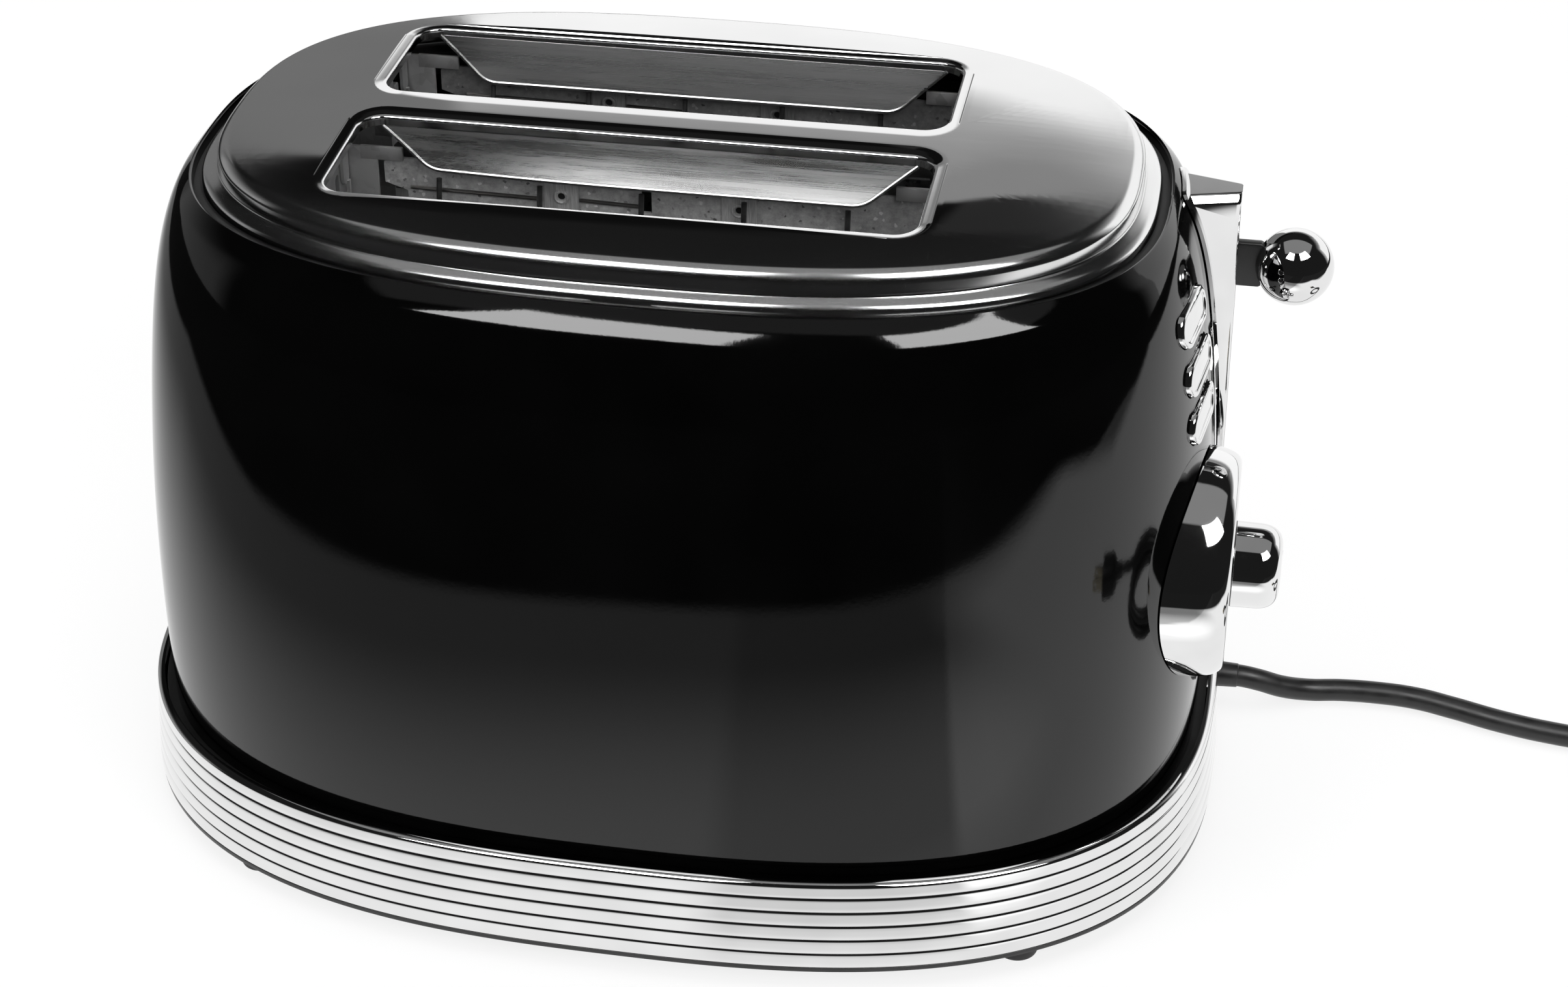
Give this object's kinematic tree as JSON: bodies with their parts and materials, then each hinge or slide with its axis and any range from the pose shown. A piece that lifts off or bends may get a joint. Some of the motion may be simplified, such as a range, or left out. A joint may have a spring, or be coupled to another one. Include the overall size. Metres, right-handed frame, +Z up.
{
  "type": "two-slice toaster",
  "caption": "Barrel-shaped electric toaster with long bread slots, a polished deck, ribbed chrome base ring, side lever, push buttons, browning dial and a cord with a plug.",
  "frame": {"origin": "on the floor under the middle of the toaster's bounds, its cord left out", "axes": "+X towards the control end with the lever, buttons and dial; -Y towards the front of the picture; +Z up"},
  "size_m": [0.4594, 0.2104, 0.1782],
  "materials": {
    "enamel": "high-gloss black enamel",
    "stainless": "polished stainless steel",
    "brushed": "lengthwise brushed",
    "chrome": "bright chrome plate",
    "zinc": "zinc plated",
    "black_plastic": "satin black",
    "rubber": "soft black",
    "cord": "smooth black flex",
    "mica": "speckled mica board",
    "heater_wire": "drawn resistance ribbon",
    "circuit": "lacquered board",
    "copper": "varnished copper wire",
    "brass": "plain brass"
  },
  "bodies": {
    "chassis": {"outer_shell": "enamel", "base_ring": "chrome", "base_tray": "black_plastic", "foot_left_front": "rubber", "foot_right_front": "rubber", "foot_left_back": "rubber", "foot_right_back": "rubber", "top_plate": "stainless", "deck_seal": "black_plastic", "flap_front_near": "brushed", "flap_front_far": "brushed", "flap_back_near": "brushed", "flap_back_far": "brushed", "end_frame_far": "zinc", "end_frame_control": "zinc", "heater_board_outer_front": "mica", "heater_board_inner_front": "mica", "heater_board_inner_back": "mica", "heater_board_outer_back": "mica", "heater_winding_outer_front": "heater_wire", "heater_winding_inner_front": "heater_wire", "heater_winding_inner_back": "heater_wire", "heater_winding_outer_back": "heater_wire", "magnet_core": "zinc", "magnet_coil": "copper", "guide_rod": "zinc", "guide_bracket": "zinc", "return_spring": "zinc", "lever_housing": "chrome", "control_board": "circuit", "cancel_switch": "black_plastic", "reheat_switch": "black_plastic", "defrost_switch": "black_plastic", "browning_control": "black_plastic", "dial_bezel": "chrome", "dial_face": "black_plastic", "strain_relief": "rubber", "cord_run": "cord", "cord_coil": "cord", "cord_tail": "cord", "plug_body": "black_plastic", "plug_blade_left": "brass", "plug_blade_right": "brass"},
    "lever": {"lever_stem": "black_plastic", "lever_ball": "chrome", "carriage": "zinc", "armature": "zinc", "bread_rack_front": "zinc", "bread_rack_back": "zinc"},
    "guard_1": {"bread_guard_1": "zinc"},
    "guard_2": {"bread_guard_2": "zinc"},
    "guard_3": {"bread_guard_3": "zinc"},
    "guard_4": {"bread_guard_4": "zinc"},
    "cancel": {"cancel_button": "chrome"},
    "reheat": {"reheat_button": "chrome"},
    "defrost": {"defrost_button": "chrome"},
    "dial": {"browning_knob": "chrome", "dial_shaft": "zinc"},
    "crumbs": {"crumb_tray": "stainless"}
  },
  "joints": [
    {"name": "lever_slide", "type": "slide", "parent": "chassis", "child": "lever", "axis": [0, 0, -1], "range_m": [0, 0.05], "stiffness_N_per_m": 80, "springref_m": -0.06, "deforming": ["return_spring"]},
    {"name": "guard_1_slide", "type": "slide", "parent": "chassis", "child": "guard_1", "axis": [0, 1, 0], "range_m": [0, 0.005]},
    {"name": "guard_2_slide", "type": "slide", "parent": "chassis", "child": "guard_2", "axis": [0, -1, 0], "range_m": [0, 0.005]},
    {"name": "guard_3_slide", "type": "slide", "parent": "chassis", "child": "guard_3", "axis": [0, 1, 0], "range_m": [0, 0.005]},
    {"name": "guard_4_slide", "type": "slide", "parent": "chassis", "child": "guard_4", "axis": [0, -1, 0], "range_m": [0, 0.005]},
    {"name": "cancel_press", "type": "slide", "parent": "chassis", "child": "cancel", "axis": [-1, 0, 0], "range_m": [0, 0.002], "stiffness_N_per_m": 400, "springref_m": -0.002},
    {"name": "reheat_press", "type": "slide", "parent": "chassis", "child": "reheat", "axis": [-1, 0, 0], "range_m": [0, 0.002], "stiffness_N_per_m": 400, "springref_m": -0.002},
    {"name": "defrost_press", "type": "slide", "parent": "chassis", "child": "defrost", "axis": [-1, 0, 0], "range_m": [0, 0.002], "stiffness_N_per_m": 400, "springref_m": -0.002},
    {"name": "browning_turn", "type": "hinge", "parent": "chassis", "child": "dial", "pos_m": [0.12, -0.0205, 0.0822], "axis": [1, 0, 0], "range_deg": [0, 270]},
    {"name": "crumb_tray_slide", "type": "slide", "parent": "chassis", "child": "crumbs", "axis": [0, 1, 0], "range_m": [0, 0.11]}
  ],
  "couplings": [
    {"joint": "guard_1_slide", "follows": "lever_slide", "ratio": 0.1},
    {"joint": "guard_2_slide", "follows": "lever_slide", "ratio": 0.1},
    {"joint": "guard_3_slide", "follows": "lever_slide", "ratio": 0.1},
    {"joint": "guard_4_slide", "follows": "lever_slide", "ratio": 0.1}
  ]
}
